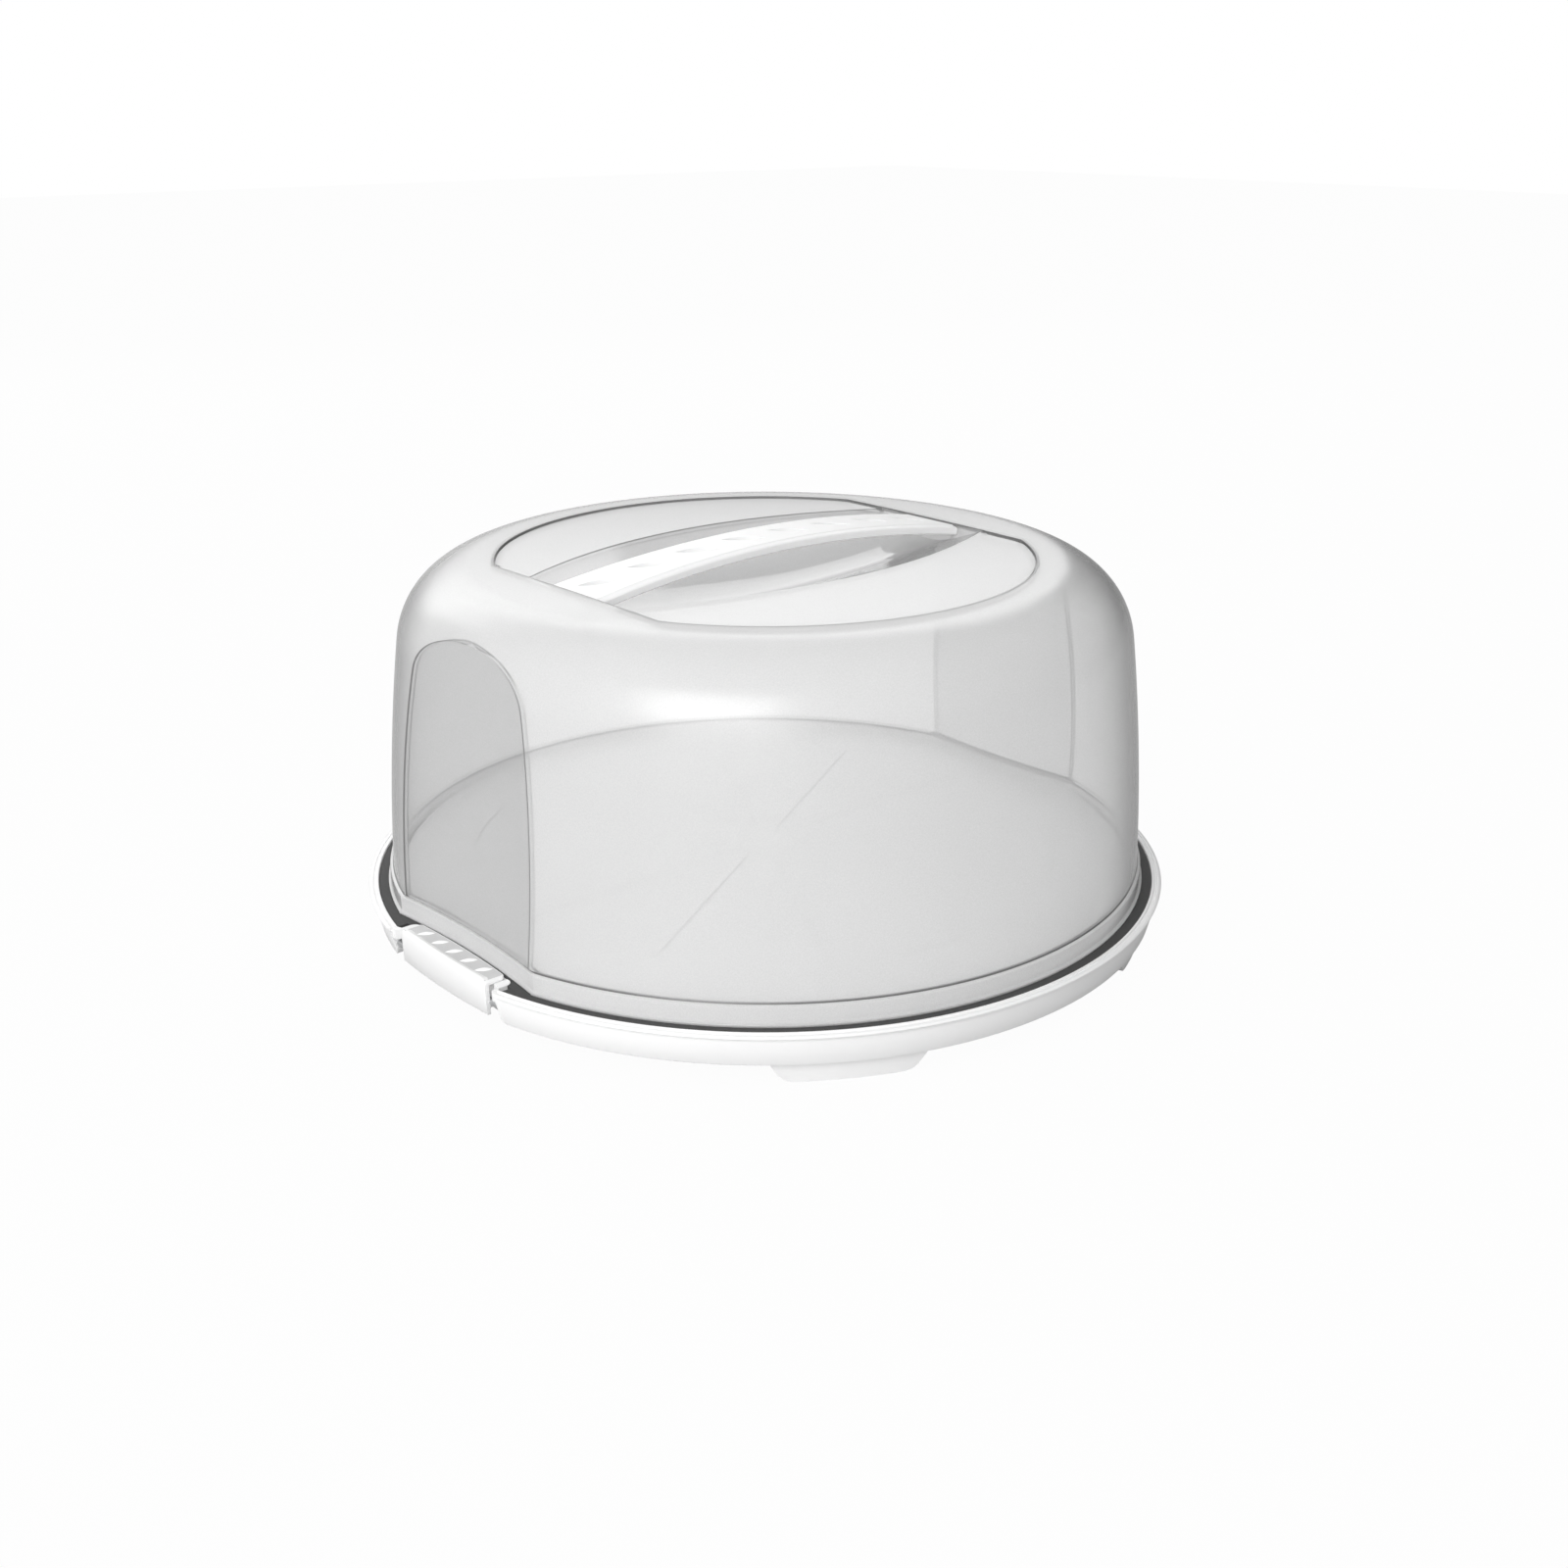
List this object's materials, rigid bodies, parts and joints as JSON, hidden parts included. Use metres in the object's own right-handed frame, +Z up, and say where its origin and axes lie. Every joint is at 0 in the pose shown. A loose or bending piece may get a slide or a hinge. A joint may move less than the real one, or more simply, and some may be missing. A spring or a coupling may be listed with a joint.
{
  "type": "cake carrier",
  "caption": "Round cake carrier: white footed tray with a serving plate, milky clear hood with a finger well and slotted strap handle, held by rocking latches in the rim.",
  "frame": {"origin": "on the table under the middle of the tray", "axes": "+Z up, +X along the handle from the left latch to the right latch, +Y across the handle"},
  "size_m": [0.345, 0.355, 0.165],
  "materials": {
    "tray_white": "semi-gloss",
    "handle_white": "satin",
    "latch_white": "satin with textured top",
    "hood_clear": "milky gloss",
    "seal_grey": "matt",
    "pin_steel": "drawn"
  },
  "bodies": {
    "tray": {"base_tray": "tray_white", "seal_ring": "seal_grey", "latch_pin_left": "pin_steel", "latch_pin_right": "pin_steel"},
    "hood": {"hood": "hood_clear", "carry_handle": "handle_white"},
    "latch_left": {"latch_left": "latch_white"},
    "latch_right": {"latch_right": "latch_white"}
  },
  "joints": [
    {"name": "hood_lift", "type": "slide", "parent": "tray", "child": "hood", "axis": [0, 0, 1], "range_m": [0, 0.2]},
    {"name": "latch_left_hinge", "type": "hinge", "parent": "tray", "child": "latch_left", "pos_m": [-0.1682, 0, 0.0152], "axis": [0, -1, 0], "range_deg": [0, 90]},
    {"name": "latch_right_hinge", "type": "hinge", "parent": "tray", "child": "latch_right", "pos_m": [0.1682, 0, 0.0152], "axis": [0, 1, 0], "range_deg": [0, 90]}
  ]
}
